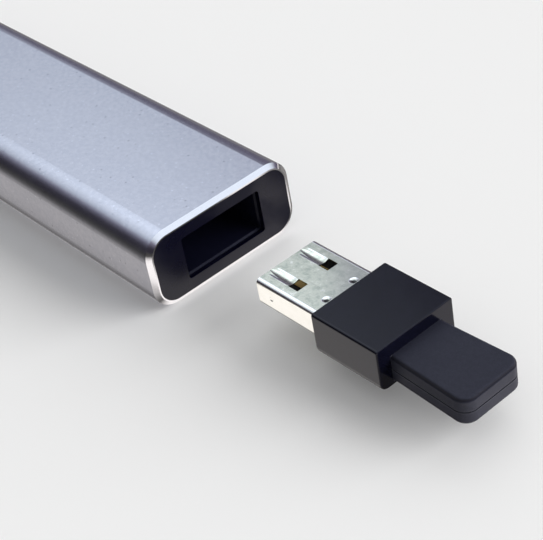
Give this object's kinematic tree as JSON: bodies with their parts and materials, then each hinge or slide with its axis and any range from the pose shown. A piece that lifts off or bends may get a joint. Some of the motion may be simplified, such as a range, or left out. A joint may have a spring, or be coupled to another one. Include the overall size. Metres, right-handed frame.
{
  "type": "wireless presentation clicker",
  "caption": "Slim aluminium presentation clicker with thumb keys, a laser nose and a pull-out radio receiver that stores in its tail.",
  "frame": {"origin": "middle of the tube's flat underside", "axes": "+X from the receiver bay in the tail to the laser nose, +Z out of the key side, +Y to the left seen from the tail"},
  "size_m": [0.1912, 0.0292, 0.0144],
  "materials": {
    "anodised_aluminium": "bead-blasted, anodised satin, polished end bevels",
    "satin_black_plastic": "fine satin mould texture",
    "frame_plastic": "plain moulded",
    "key_plastic": "satin, pressed marks",
    "magnet_metal": "nickel plated",
    "pouch_foil": "matt laminated foil",
    "foam_tape": "matt foam",
    "circuit_board": "solder-masked laminate",
    "chip_epoxy": "matt moulding compound",
    "wire_insulation": "smooth insulation",
    "connector_nylon": "natural nylon",
    "plated_steel": "nickel plated sheet",
    "screw_steel": "zinc plated",
    "capacitor_ceramic": "ceramic body",
    "lamp_resin": "clear amber resin",
    "light_pipe_plastic": "frosted clear",
    "switch_housing": "moulded",
    "barrel_brass": "turned",
    "optical_glass": "polished",
    "tongue_plastic": "black heat-proof thermoplastic",
    "actuator_plastic": "natural thermoplastic",
    "contact_gold": "gold flashed",
    "gloss_black_plastic": "glossy moulded",
    "grip_rubberised": "soft-touch coated"
  },
  "bodies": {
    "clicker": {"body_tube": "anodised_aluminium", "tail_cap": "satin_black_plastic", "receiver_tray": "satin_black_plastic", "receiver_magnet": "magnet_metal", "inner_frame": "frame_plastic", "battery_cell": "pouch_foil", "battery_tape": "foam_tape", "cell_protector": "circuit_board", "battery_leads": "wire_insulation", "battery_connector": "connector_nylon", "main_board": "circuit_board", "board_screws": "screw_steel", "tact_switches": "switch_housing", "radio_chip": "chip_epoxy", "radio_crystal": "plated_steel", "board_capacitors": "capacitor_ceramic", "status_lamp": "lamp_resin", "light_pipe": "light_pipe_plastic", "key_panel": "satin_black_plastic", "power_switch": "switch_housing", "port_shell": "plated_steel", "port_tongue": "chip_epoxy", "laser_barrel": "barrel_brass", "laser_lens": "optical_glass", "laser_diode": "contact_gold", "nose_cap": "satin_black_plastic", "nose_window": "optical_glass"},
    "receiver": {"plug_shell": "plated_steel", "plug_tongue": "tongue_plastic", "plug_contacts": "contact_gold", "receiver_sleeve": "gloss_black_plastic", "receiver_face": "gloss_black_plastic", "receiver_board": "circuit_board", "receiver_chip": "chip_epoxy", "grip_upper": "grip_rubberised", "grip_lower": "grip_rubberised"},
    "page_down": {"page_down_key": "key_plastic", "page_down_plunger": "actuator_plastic"},
    "page_up": {"page_up_key": "key_plastic", "page_up_plunger": "actuator_plastic"},
    "laser_button": {"laser_key": "key_plastic", "laser_plunger": "actuator_plastic"},
    "power_thumb": {"power_slider": "key_plastic", "power_lever": "actuator_plastic"}
  },
  "joints": [
    {"name": "receiver_dock", "type": "slide", "parent": "clicker", "child": "receiver", "axis": [1, 0, 0], "range_m": [0, 0.0416]},
    {"name": "page_down_press", "type": "slide", "parent": "clicker", "child": "page_down", "axis": [0, 0, -1], "range_m": [0, 0.0003], "stiffness_N_per_m": 4000},
    {"name": "page_up_press", "type": "slide", "parent": "clicker", "child": "page_up", "axis": [0, 0, -1], "range_m": [0, 0.0003], "stiffness_N_per_m": 4000},
    {"name": "laser_press", "type": "slide", "parent": "clicker", "child": "laser_button", "axis": [0, 0, -1], "range_m": [0, 0.0003], "stiffness_N_per_m": 4000},
    {"name": "power_slide", "type": "slide", "parent": "clicker", "child": "power_thumb", "axis": [1, 0, 0], "range_m": [0, 0.002]}
  ]
}
